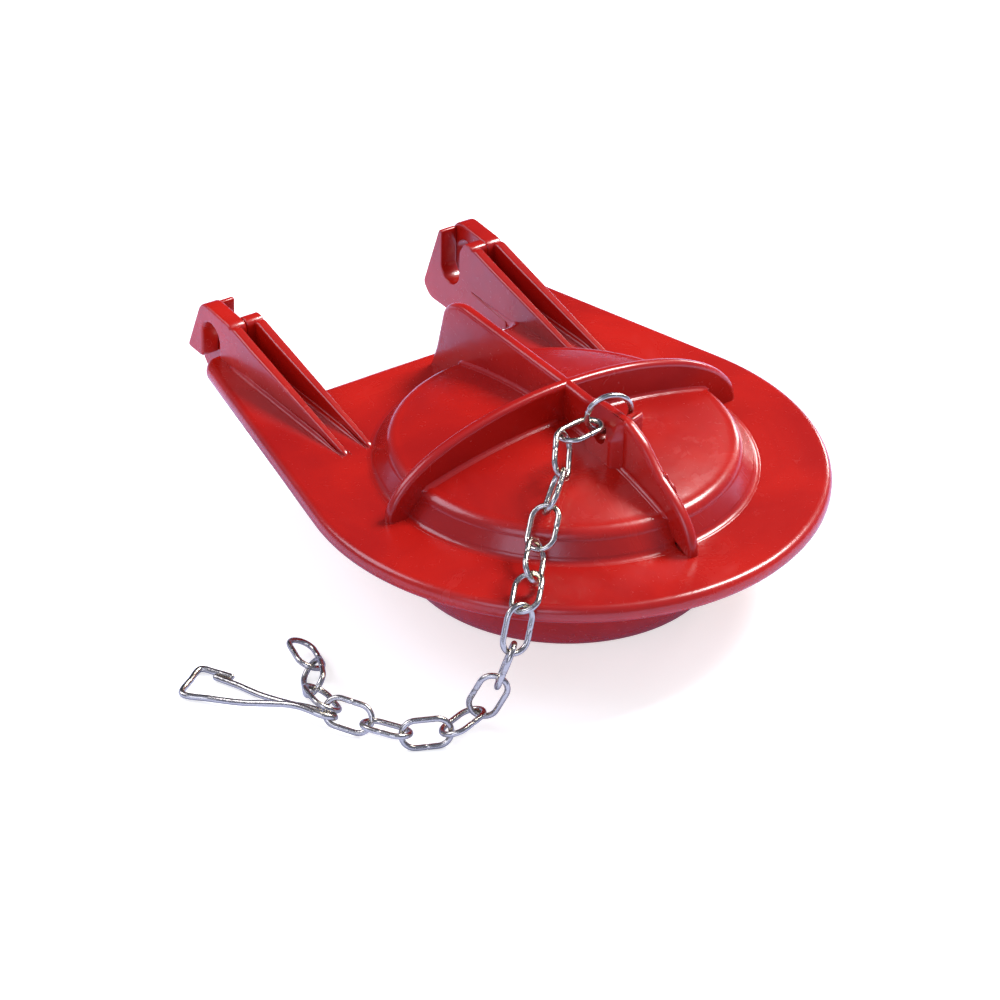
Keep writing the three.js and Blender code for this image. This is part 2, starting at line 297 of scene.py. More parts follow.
@dataclass(frozen=True)
class Steel:
    """Bright drawn wire with a little tarnish."""

    name: str = "bright steel"
    clean: tuple = (0.52, 0.485, 0.41, 1)
    tarnish: tuple = (0.20, 0.16, 0.12, 1)
    gloss: float = 0.17
    spots: tuple = (700, 5, 0.65, 1.2)
    spots_seen: tuple = (0.56, 0.78)
    streaks: tuple = (2600, 3, 0.6)
    streak_depth: float = 0.00003
    waves: tuple = (420, 2)
    wave_depth: float = 0.00012

    def make(self) -> bpy.types.Material:
        """Builds the material.

        Returns:
            Steel wire: drawn streaks, uneven gloss and thin brown tarnish in spots.
        """
        maker = Maker(self.name)
        spots = maker.noise(*self.spots).ramp(*self.spots_seen)
        streaks = maker.noise(*self.streaks)
        colour = maker.mix(spots * 0.55, self.clean, self.tarnish)
        roughness = self.gloss + streaks * 0.13 + spots * 0.22
        layers = [(streaks, self.streak_depth), (maker.noise(*self.waves), self.wave_depth)]
        relief = maker.relief(layers)
        return maker.dress(Base_Color=colour, Metallic=1.0, Roughness=roughness, Normal=relief, IOR=2.4)


def quads(rows: int, columns: int, around: bool) -> list:
    """The faces between neighbours on a grid of points whose columns close round, and rows if around.

    Args:
        rows: The grid's rows.
        columns: The grid's columns.
        around: True if the last row joins the first one.

    Returns:
        Four point numbers for each face.
    """
    index = np.arange(rows * columns).reshape(rows, columns)
    upper = index if around else index[:-1]
    lower = np.roll(index, -1, 0) if around else index[1:]
    return np.stack([upper, np.roll(upper, -1, 1), np.roll(lower, -1, 1), lower], -1).reshape(-1, 4).tolist()


def skin(name: str, points: Points, around: bool = True, ends: bool = True) -> Piece:
    """A closed mesh over a grid of points.

    Formula: row i, column j of the grid is the surface at its two parameters; neighbours make
    four-sided faces; the columns close round, and each end row is filled or, if it is one point, merged.

    Args:
        name: The object's name.
        points: Rows x columns x 3, in metres.
        around: True if the last row joins the first one instead of both being filled.
        ends: True if open end rows are filled.

    Returns:
        The object.
    """
    rows, columns = points.shape[:2]
    faces = quads(rows, columns, around)
    if ends and not around:
        last = (rows - 1) * columns
        faces += [list(range(columns))[::-1], list(range(last, last + columns))]
    mesh = bpy.data.meshes.new(name)
    mesh.from_pydata(points.reshape(-1, 3), [], faces)
    return finished(name, mesh)


def finished(name: str, mesh: bpy.types.Mesh) -> Piece:
    """An object of this mesh, merged, closed, smooth and facing outwards.

    Args:
        name: The object's name.
        mesh: The raw mesh.

    Returns:
        The object.
    """
    work = bmesh.new()
    work.from_mesh(mesh)
    bmesh.ops.remove_doubles(work, verts=work.verts, dist=MERGE)
    bmesh.ops.dissolve_degenerate(work, edges=work.edges, dist=MERGE)
    bmesh.ops.recalc_face_normals(work, faces=work.faces)
    work.to_mesh(mesh)
    work.free()
    mesh.shade_smooth()
    return placed(name, mesh)


def placed(name: str, data: bpy.types.ID) -> Piece:
    """A new object of this data, in the scene.

    Args:
        name: The object's name.
        data: Its mesh, lamp or camera.

    Returns:
        The object.
    """
    made = bpy.data.objects.new(name, data)
    bpy.context.scene.collection.objects.link(made)
    return made


def points_of(piece: Piece) -> Points:
    """A mesh's points x 3, in its own metres.

    Args:
        piece: The mesh's object.

    Returns:
        Points x 3, as single floats.
    """
    flat = np.empty(len(piece.data.vertices) * 3, np.float32)
    piece.data.vertices.foreach_get("co", flat)
    return flat.reshape(-1, 3)


def softened(corners: list, radii: float | list, steps: int = 6) -> Points:
    """A closed outline with its corners rounded.

    Formula: at corner P the outline leaves the edge at A and B, each its radius before and after P, and
    follows (1-t)^2 A + 2t(1-t) P + t^2 B.

    Args:
        corners: The outline's corners, (across, up).
        radii: One length for every corner, or one per corner.
        steps: Points per corner, less one.

    Returns:
        Points x 2.
    """
    here = np.array(corners, float)
    before = np.roll(here, 1, 0) - here
    after = np.roll(here, -1, 0) - here
    reach_before = np.linalg.norm(before, axis=1, keepdims=True)
    reach_after = np.linalg.norm(after, axis=1, keepdims=True)
    radius = np.broadcast_to(np.array(radii, float), len(here))[:, None]
    radius = np.minimum(radius, 0.48 * np.minimum(reach_before, reach_after))
    start = here + before / reach_before * radius
    end = here + after / reach_after * radius
    return bend(start[:, None], here[:, None], end[:, None], steps).reshape(-1, 2)


def bend(start: Points, corner: Points, end: Points, steps: int) -> Points:
    """A soft bend from start to end: (1-t)^2 start + 2t(1-t) corner + t^2 end."""
    t = np.linspace(0, 1, steps + 1)[:, None]
    return (1 - t) ** 2 * start + 2 * t * (1 - t) * corner + t**2 * end


def rim(corners: list, radii: float | list, steps: int) -> Points:
    """The rounded corners between an outline's first and last, which only show the way in and out."""
    return softened(corners, radii, steps)[steps + 1 : -steps - 1]


def unit(ways: Points) -> Points:
    """Vectors made one long."""
    return ways / np.linalg.norm(ways, axis=-1, keepdims=True)


def distance_along(points: Points, power: float = 1.0) -> Points:
    """The running sum of the gaps between points, each raised to this power."""
    return np.concatenate([[0], np.cumsum(np.linalg.norm(np.diff(points, axis=0), axis=1) ** power)])


def outward(outline: Points) -> Points:
    """Unit normals of a closed outline, pointing away from what it encloses.

    Args:
        outline: The closed outline, points x 2.

    Returns:
        One normal per point.
    """
    along = np.roll(outline, -1, 0) - np.roll(outline, 1, 0)
    along /= np.maximum(np.linalg.norm(along, axis=1, keepdims=True), 1e-9)
    area = np.sum(outline[:, 0] * np.roll(outline[:, 1], -1) - np.roll(outline[:, 0], -1) * outline[:, 1])
    return np.stack([along[:, 1], -along[:, 0]], 1) * (1 if area > 0 else -1)


def plate_rings(outline: Points, low: float, high: float, edge: float, inwards: int) -> Points:
    """Rings of a plate's side with rounded edges, from its low face to its high face.

    Formula: ring k is the outline drawn in by edge * (1 - sin a) at low + edge * (1 - cos a), a from
    0 to 90 degrees, the same mirrored at the high face, and one more ring further in on each flat.

    Args:
        outline: The closed outline, points x 2.
        low: Where the plate starts along its thickness.
        high: Where it ends.
        edge: The edges' radius.
        inwards: 1 to draw in an outline, -1 to draw a hole's outline out.

    Returns:
        Rings x points x 3, as (across, up, thickness).
    """
    turn = np.linspace(0, math.pi / 2, 5)
    inset = edge * (1 - np.sin(turn))
    depth = edge * (1 - np.cos(turn))
    inset = np.concatenate([[edge * 1.12], inset, inset[::-1], [edge * 1.12]])
    level = np.concatenate([[low], low + depth, high - depth[::-1], [high]])
    flat = outline[None] - inwards * outward(outline)[None] * inset[:, None, None]
    rise = np.broadcast_to(level[:, None, None], (*flat.shape[:2], 1))
    return np.concatenate([flat, rise], 2)


@dataclass(frozen=True)
class Place:
    """Where the drawing's own frame lies in the row frame."""

    shift: tuple

    def put(self, points: Points) -> Points:
        """Points from millimetres about the bell's axis to metres in the row frame."""
        return (points + np.array(self.shift)) * MM


class Plane(Enum):
    """Which way a plate stands: the row of axes that (across, up, thickness) become."""

    ACROSS_X = (1, 2, 0)
    ACROSS_Y = (0, 2, 1)
    FLAT = (0, 1, 2)


def stand(points: Points, plane: Plane) -> Points:
    """Points given as (across, up, thickness), stood in this plane.

    Args:
        points: Points x 3.
        plane: The plane they stand in.

    Returns:
        The points as (x, y, z).
    """
    turned = np.empty_like(points)
    turned[..., list(plane.value)] = points
    return turned


def swept(
    name: str, path: Points, side: Points, up: Points, section: Points, closed: bool,
) -> Piece:
    """A section carried along a path.

    Formula: path(s) + side(s) * x(t) + up(s) * y(t).

    Args:
        name: The object's name.
        path: The path, stations x 3, in metres.
        side: The section's first direction at each station.
        up: Its second direction at each station.
        section: The closed section, points x 2 or stations x points x 2, in metres.
        closed: True if the path joins its own start.

    Returns:
        The object.
    """
    section = np.broadcast_to(section, (len(path), *section.shape[-2:]))
    points = path[:, None] + side[:, None] * section[..., :1] + up[:, None] * section[..., 1:]
    return skin(name, points, around=closed)


def round_arc(centre: tuple, radius: float, start: float, end: float, count: int) -> Points:
    """Points on a round: centre + radius (cos a, sin a), a from start to end in radians."""
    angle = np.linspace(start, end, count)
    return np.array(centre) + radius * np.stack([np.cos(angle), np.sin(angle)], 1)


def round_section(radius: float, sides: int) -> Points:
    """A full round of this radius."""
    return round_arc((0, 0), radius, 0, 2 * math.pi, sides + 1)[:-1]


def fillet_section(steps: int = 6, sunk: float = 0.45) -> Points:
    """A hollow corner between two walls at right angles: a quarter round cut from a square of size 1."""
    arc = round_arc((1, 1), 1, math.pi, 1.5 * math.pi, steps)
    return np.concatenate([[[-sunk, -sunk], [-sunk, 1]], arc, [[1, -sunk]]])


def scaled(section: Points, size: Points) -> Points:
    """A section scaled by its size at each station."""
    return section[None] * size[:, None, None]


def groove(near: Points, width: float, depth: float) -> Points:
    """How a wire thins where its ends meet: 1 - depth * e^(-(distance / width)^2)."""
    return 1 - depth * np.exp(-((near / width) ** 2))


@dataclass
class Assembly:
    """Pieces that are built together, dressed alike and ride on one body."""

    slot: ClassVar[Slot] = Slot.STEEL
    pieces: list[Piece] = field(default_factory=list, init=False)

    def keep(self, piece: Piece) -> Piece:
        """Adds a piece to the assembly."""
        self.pieces.append(piece)
        return piece

    def dress(self, material: bpy.types.Material, node: str, body: str) -> None:
        """Gives every piece its finish and the body it rides on, and hides the CAD node it stands for.

        Args:
            material: The finish.
            node: The CAD node the pieces stand for.
            body: The CAD body they ride on.
        """
        for piece in self.pieces:
            piece.data.materials.clear()
            piece.data.materials.append(material)
            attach(piece, body)
            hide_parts(node)
        log.info("%s: %d pieces on %s", node, len(self.pieces), body)


@dataclass
class Moulding(Assembly):
    """Rubber pieces drawn about the bell's axis."""

    slot: ClassVar[Slot] = Slot.RUBBER
    place: Place

    def plate(
        self, name: str, outline: Points, low: float, high: float, edge: float, plane: Plane,
        hole: Points | None = None,
    ) -> Piece:
        """A flat plate with rounded edges and, if one is given, a rounded hole.

        Formula: the rings of `plate_rings` joined round, with both flats filled between the outline's
        last ring and the hole's.

        Args:
            name: The piece's name.
            outline: The closed outline, points x 2.
            low: Where the plate starts along its thickness.
            high: Where it ends.
            edge: The edges' radius.
            plane: Which way the plate stands.
            hole: The hole's closed outline.

        Returns:
            The piece.
        """
        work = bmesh.new()
        shapes = [(outline, 1)] + ([] if hole is None else [(hole, -1)])
        for shape, inwards in shapes:
            rings = self.place.put(stand(plate_rings(shape, low, high, edge, inwards), plane))
            verts = [work.verts.new(point) for point in rings.reshape(-1, 3)]
            for corners in quads(*rings.shape[:2], around=False):
                work.faces.new([verts[corner] for corner in corners])
        axis = plane.value[2]
        for level in (low, high):
            goal = (level + self.place.shift[axis]) * MM
            rims = [
                side for side in work.edges
                if side.is_boundary and all(abs(vert.co[axis] - goal) < MERGE for vert in side.verts)
            ]
            bmesh.ops.triangle_fill(work, use_beauty=True, use_dissolve=False, edges=rims)
        mesh = bpy.data.meshes.new(name)
        work.to_mesh(mesh)
        work.free()
        return self.keep(finished(name, mesh))

    def fillet(self, name: str, path: Points, axis: int, way: int, size: Points) -> None:
        """Fills the corner between an upright face and what it stands on.

        Formula: a hollow corner of each station's size carried along the path, between the face's
        direction and the one at right angles to it that points up.

        Args:
            name: The piece's name.
            path: The corner's line, stations x 3.
            axis: The axis that the face looks along.
            way: 1 or -1 for which way it looks.
            size: The corner's size at each station.
        """
        side = np.zeros_like(path)
        side[:, axis] = way
        up = np.cross(unit(np.gradient(path, axis=0)), side)
        up *= np.sign(up[:, 2:])
        section = scaled(fillet_section(), size) * MM
        self.keep(swept(name, self.place.put(path), side, up, section, False))


@dataclass
class Flange(Moulding):
    """The round seal, with straight sides that run back to a lobe under each arm."""

    radius: float = 41.8
    thickness: float = 3.0
    lip: float = 1.25
    rear_edge: float = 38.2
    lobe_rear: float = 56.6
    lobe_corner: float = 3.4
    lobe_overhang: float = 3.1
    notch_inset: float = 0.15
    notch_round: float = 2.4
    arm_gap: float = 40.8
    arm_width: float = 6.3
    arms_lean: float = -2.1

    def outline(self) -> Points:
        """The flange seen from above.

        Formula: a round front of the flange's radius, straight sides tangent to the round and to each
        lobe's corner, and a straight edge between the lobes.

        Returns:
            The closed outline, points x 2.
        """
        reach = self.arm_gap / 2 + self.arm_width + self.lobe_overhang - self.lobe_corner
        centre_y = self.lobe_rear - self.lobe_corner
        touches = []
        for centre_x in (reach + self.arms_lean, reach - self.arms_lean):
            lean = math.acos((self.radius - self.lobe_corner) / math.hypot(centre_x, centre_y))
            touches.append(math.atan2(centre_y, centre_x) - lean)
        right, left = touches
        front = round_arc((0, 0), self.radius, math.pi - left, 2 * math.pi + right, 200)
        right_corner = round_arc((self.arms_lean + reach, centre_y), self.lobe_corner, right, math.pi / 2, 14)
        left_centre = (self.arms_lean - reach, centre_y)
        left_corner = round_arc(left_centre, self.lobe_corner, math.pi / 2, math.pi - left, 14)
        inner = self.arm_gap / 2 + self.notch_inset
        east, west = self.arms_lean + inner, self.arms_lean - inner
        notch = [
            right_corner[-1], [east, self.lobe_rear], [east, self.rear_edge],
            [west, self.rear_edge], [west, self.lobe_rear], left_corner[0],
        ]
        return np.concatenate([front, right_corner, rim(notch, self.notch_round, 8), left_corner])

    def build(self) -> None:
        """Builds the flange as one plate with a rounded rim."""
        under = FLANGE_TOP - self.thickness
        self.plate("flange", self.outline(), under, FLANGE_TOP, self.lip, Plane.FLAT)


@dataclass
class Bell(Moulding):
    """The domed hub above the flange and the hollow bell below it."""

    flange_under: float = 15.9
    hub_height: float = 3.8
    dome_rise: float = 4.2
    foot_radius: float = 29.4
    top_radius: float = 27.9
    shoulder: float = 2.1
    foot_fillet: float = 1.2
    draft: float = 8.0
    under_fillet: float = 0.8
    sunk: float = 0.3
    lip_height: float = 0.9
    mouth_radius: float = 23.6
    bell_radius: float = 30.0
    fullness: float = 1.5
    bell_wall: float = 2.2
    roof_wall: float = 2.6
    roof_radius: float = 24.6
    roof_corner: float = 3.0
    steps: int = 192

    def dome(self, radius: Points | float) -> Points | float:
        """The dome's height: its edge's height plus rise * (1 - (r / top radius)^2)."""
        edge = FLANGE_TOP + self.hub_height
        return edge + self.dome_rise * (1 - (radius / self.top_radius) ** 2)

    def side(self, inset: float) -> Points:
        """The bell's side from the flange down to the mouth, drawn in by inset.

        Formula: r = mouth + (top - mouth) cos(t)^fullness, z = under (1 - sin t), t from 0 to 90 degrees.

        Args:
            inset: How far the side is drawn in.

        Returns:
            Points x 2, as (radius, height).
        """
        turn = np.linspace(0, math.pi / 2, 40)
        radius = self.mouth_radius + (self.bell_radius - self.mouth_radius) * np.cos(turn) ** self.fullness
        return np.stack([radius - inset, self.flange_under * (1 - np.sin(turn))], 1)

    def profile(self) -> Points:
        """The closed profile, from the dome's middle out and down to the mouth and back up the hollow.

        Returns:
            Points x 2, as (radius, height).
        """
        edge = self.top_radius - self.shoulder
        out = np.linspace(0, edge, 40)
        dome = np.stack([out, self.dome(out)], 1)
        centre = (edge, self.dome(edge) - self.shoulder)
        shoulder = round_arc(centre, self.shoulder, math.pi / 2 - 0.1, math.radians(self.draft), 12)
        size = self.foot_fillet
        corner = (self.foot_radius + size, FLANGE_TOP + size)
        foot = round_arc(corner, size, math.radians(180 + self.draft), math.radians(270), 9)
        soft, under = self.under_fillet, self.flange_under
        reach = self.bell_radius + soft
        hidden = [[corner[0] + 0.2, FLANGE_TOP - self.sunk], [reach, under + self.sunk], [reach, under]]
        root = round_arc((reach, under - soft), soft, math.pi / 2, math.pi, 7)
        side, low = self.side(0), self.lip_height + 0.1
        outside = side[(side[:, 1] < under - 1.5 * soft) & (side[:, 1] > low)]
        half = self.bell_wall / 2
        lip = round_arc((self.mouth_radius - half, 0), half, 0, -math.pi, 12)
        lip[:, 1] = self.lip_height + lip[:, 1] * self.lip_height / half
        inside = self.side(self.bell_wall)[::-1]
        inside = inside[(inside[:, 1] > low) & (inside[:, 0] < self.roof_radius + self.roof_corner)]
        back = np.linspace(self.roof_radius, 0, 30)
        roof = np.stack([back, self.dome(back) - self.roof_wall], 1)
        turn = bend(inside[-1], np.array([inside[-1][0], roof[0][1]]), roof[0], 6)[1:]
        return np.concatenate([dome, shoulder, foot, hidden, root, outside, lip, inside, turn, roof[1:]])

    def build(self) -> None:
        """Builds the hub and bell as one turned piece.

        Formula: (r cos a, r sin a, z) for each profile point (r, z) and angle a.
        """
        angle = np.linspace(0, 2 * math.pi, self.steps, endpoint=False)
        radius, height = np.split(self.profile(), 2, axis=1)
        points = np.stack([radius * np.cos(angle), radius * np.sin(angle), height + 0 * angle], -1)
        self.keep(skin("bell_and_hub", self.place.put(points), around=False, ends=False))


@dataclass
class Ribs(Moulding):
    """The two ribs that cross on the hub, and the boss's two cheeks with the ring's hole."""

    bell: Bell
    thickness: float = 1.9
    height: float = 14.1
    reach: float = 33.4
    fullness: float = 2.0
    root: float = 1.5
    edge: float = 0.78
    back_height: float = 14.3
    back_top_end: float = 27.6
    back_shoulder: float = 32.2
    back_shoulder_height: float = 11.6
    back_foot: float = 35.4
    ramp_start: float = 6.2
    ramp_end: float = 9.2
    ramp_lead: float = 0.9
    boss_height: float = 15.0
    boss_root: float = 5.7
    boss_front: float = 16.0
    boss_edge: float = 0.4
    cheek_corner: float = 0.5
    shoulder_softness: float = 0.12
    left_reach: float = 2.7
    left_corner: float = 14.7
    left_rear: float = 8.4
    left_shoulder: float = 11.4
    right_reach: float = 3.2
    right_corner: float = 15.4
    right_rear: float = 14.2
    slope_knee: float = 20.0
    slope_knee_height: float = 13.4
    slope_end: float = 23.2
    hole_place: float = 12.1
    hole_height: float = 11.4
    hole_radius: float = 1.5
    drill_reach: float = 5.0
    root_fillet: float = 0.8
    flash_start: float = 23.6
    flash_length: float = 3.8
    flash_thin: float = 0.06
    flash_inset: float = 0.24
    flash_wave: float = 0.06
    flash_waves: float = 17.0
    flash_sunk: float = 0.14
    flash_tongues: tuple = ((0.38, 0.25, 0.13), (0.24, 0.7, 0.16))

    def arch(self, count: int = 48) -> Points:
        """A rib's rounded end, as (distance, height).

        Formula: distance = reach cos(t)^(2/fullness), height = height sin(t)^(2/fullness).

        Args:
            count: How many points.

        Returns:
            Points x 2.
        """
        turn = np.linspace(0, math.pi / 2, count)
        power = 2 / self.fullness
        return np.stack([self.reach * np.cos(turn) ** power, self.height * np.sin(turn) ** power], 1)

    def cross_outline(self) -> Points:
        """The cross rib seen from the front: two rounded ends and a straight foot below the flange's top.

        Returns:
            The closed outline, points x 2.
        """
        right = self.arch()
        left = right[:-1][::-1] * [-1, 1]
        foot = np.array([[-self.reach, -self.root], [self.reach, -self.root]])
        return np.concatenate([foot, right, left]) + [0, FLANGE_TOP]

    def long_outline(self) -> Points:
        """The long rib seen from the side: round front end, slope and boss, and sloped rear end.

        Returns:
            The closed outline, points x 2.
        """
        front = self.arch(64)[::-1] * [-1, 1]
        middle = front[front[:, 0] > self.ramp_lead - self.ramp_start]
        slope = front[front[:, 0] < -self.slope_end]
        rise = rim(
            [middle[-1], [-self.ramp_start, self.height - 0.1], [-self.ramp_end, self.boss_height],
             [-self.boss_front, self.boss_height], [-self.slope_knee, self.slope_knee_height], slope[1]],
            [0.3, 1.2, 1.2, 0.9, 1.6, 0.3], 6,
        )
        back = rim(
            [[0, self.back_height], [self.back_top_end, self.back_height],
             [self.back_top_end + 2.8, self.back_height - 1], [self.back_shoulder, self.back_shoulder_height],
             [self.back_shoulder + 1.4, self.back_shoulder_height / 2], [self.back_foot, -self.root]],
            1.8, 6,
        )
        foot = [[-self.reach, -self.root], [self.back_foot, -self.root]]
        return np.concatenate([middle[2:], rise, slope[2:], foot, back[::-1]]) + [0, FLANGE_TOP]

    def hole(self, steps: int = 32) -> Points:
        """The ring's hole seen from the side."""
        return round_section(self.hole_radius, steps) + [-self.hole_place, FLANGE_TOP + self.hole_height]

    def cheek(self, name: str, corners: list, reach: float, shoulder: float | None) -> Piece:
        """One cheek of the boss.

        Formula: ring k is the outline from above at height z, drawn in at the top by edge (1 - cos a),
        and pulled in towards the rib's face above the shoulder, in a straight slope to the top.

        Args:
            name: The piece's name.
            corners: The cheek's corners from above.
            reach: How far the cheek reaches from the rib's middle, negative for the left one.
            shoulder: Height over the flange above which it slopes in, or None for an upright cheek.

        Returns:
            The piece.
        """
        plan = softened(corners, self.cheek_corner, 5)
        turn = np.linspace(0, math.pi / 2, 6)
        straight = np.linspace(self.boss_root, self.boss_height - self.boss_edge, 24)[:-1]
        level = np.concatenate([straight, self.boss_height - self.boss_edge * (1 - np.sin(turn))])
        inset = np.concatenate([0 * straight, self.boss_edge * (1 - np.cos(turn))])
        rings = plan - outward(plan) * inset[:, None, None]
        if shoulder is not None:
            fall = np.clip((level - shoulder) / (self.boss_height - shoulder), 0, 1)
            soft = self.shoulder_softness
            fall -= 0.5 * np.clip(soft - np.abs(fall - soft), 0, 1) * (fall < 2 * soft)
            face, way = self.thickness / 2, np.sign(reach)
            beyond = np.clip(rings[..., 0] * way - face, 0, abs(reach) - face)
            rings[..., 0] -= way * beyond * fall[:, None]
        rise = np.broadcast_to((level + FLANGE_TOP)[:, None, None], (*rings.shape[:2], 1))
        return self.keep(skin(name, self.place.put(np.concatenate([rings, rise], 2)), around=False))

    def bore(self, piece: Piece) -> None:
        """Cuts the ring's hole through a piece.

        Args:
            piece: The piece that is cut.
        """
        rings = np.array([[(y, z, x) for y, z in self.hole()] for x in (-self.drill_reach, self.drill_reach)])
        drill = skin("drill", self.place.put(stand(rings, Plane.ACROSS_X)), around=False)
        cut = piece.modifiers.new("hole", "BOOLEAN")
        cut.operation = "DIFFERENCE"
        cut.solver = "EXACT"
        cut.object = drill
        bpy.context.view_layer.update()
        mesh = bpy.data.meshes.new_from_object(piece.evaluated_get(bpy.context.evaluated_depsgraph_get()))
        piece.modifiers.clear()
        piece.data = mesh
        work = bmesh.new()
        work.from_mesh(mesh)
        bmesh.ops.remove_doubles(work, verts=work.verts, dist=5 * MERGE)
        bmesh.ops.holes_fill(work, edges=[edge for edge in work.edges if edge.is_boundary], sides=8)
        work.to_mesh(mesh)
        work.free()
        mesh.set_sharp_from_angle(angle=math.radians(40))
        bpy.data.objects.remove(drill)

    def corner(self, name: str, start: float, end: float, plane: Plane, way: int) -> None:
        """Fills the corner between a rib's face and the dome.

        Args:
            name: The piece's name.
            start: Where along the rib it starts.
            end: Where it ends.
            plane: Which way the rib stands.
            way: 1 or -1 for the rib's face it lies on.
        """
        line = np.linspace(start, end, 50)
        half = np.full_like(line, way * (self.thickness / 2 - 0.05))
        path = stand(np.stack([line, self.bell.dome(np.abs(line)), half], 1), plane)
        station = np.arange(len(line))
        size = self.root_fillet * np.clip(np.minimum(station, station[::-1]) / 2, 0.2, 1)
        self.fillet(name, path, plane.value[2], way, size)

    def flash(self) -> None:
        """A small torn flake of flash on the front rib's crest.

        Formula: a round of radius thin + each tongue's height e^(-((s - middle) / width)^2), carried
        along the crest's right edge, s from 0 to 1.
        """
        s = np.linspace(0, 1, 48)
        place = -(self.flash_start + self.flash_length * s)
        crest = self.height * (1 - np.abs(place / self.reach) ** self.fullness) ** (1 / self.fullness)
        across = self.thickness / 2 - self.flash_inset + self.flash_wave * np.sin(self.flash_waves * s)
        path = np.stack([across, place, FLANGE_TOP + crest - self.flash_sunk], 1)
        along = unit(np.gradient(path, axis=0))
        up = np.cross(along, [-1.0, 0.0, 0.0])
        side = np.cross(up, along)
        size = self.flash_thin + 0 * s
        for height, middle, width in self.flash_tongues:
            size += height * np.exp(-(((s - middle) / width) ** 2))
        section = scaled(round_section(MM, 14), size)
        self.keep(swept("front_rib_flash", self.place.put(path), side, up, section, False))

    def build(self) -> None:
        """Builds both ribs, the boss, the flash and the corners where the ribs meet the dome."""
        self.flash()
        half = self.thickness / 2
        self.plate("cross_rib", self.cross_outline(), -half, half, self.edge, Plane.ACROSS_Y)
        self.plate("long_rib", self.long_outline(), -half, half, self.edge, Plane.ACROSS_X, self.hole())
        core = half / 2
        left = [
            [-self.left_reach, -self.left_rear], [-self.left_reach, -self.left_corner],
            [-half, -self.boss_front], [-core, -self.boss_front], [-core, -self.left_rear],
        ]
        right = [
            [self.right_reach, -self.right_rear], [core, -self.right_rear], [core, -self.boss_front],
            [half, -self.boss_front], [self.right_reach, -self.right_corner],
        ]
        self.bore(self.cheek("boss_left_cheek", left, -self.left_reach, self.left_shoulder))
        self.cheek("boss_right_cheek", right, self.right_reach, None)
        edge = self.bell.top_radius - 0.3
        near = half + self.root_fillet
        for way in (-1, 1):
            for start, end in ((-edge, -near), (near, edge)):
                tag = f"{'left' if way < 0 else 'right'}_{'front' if start < 0 else 'back'}"
                self.corner(f"long_rib_root_{tag}", start, end, Plane.ACROSS_X, way)
                self.corner(f"cross_rib_root_{tag}", start, end, Plane.ACROSS_Y, way)


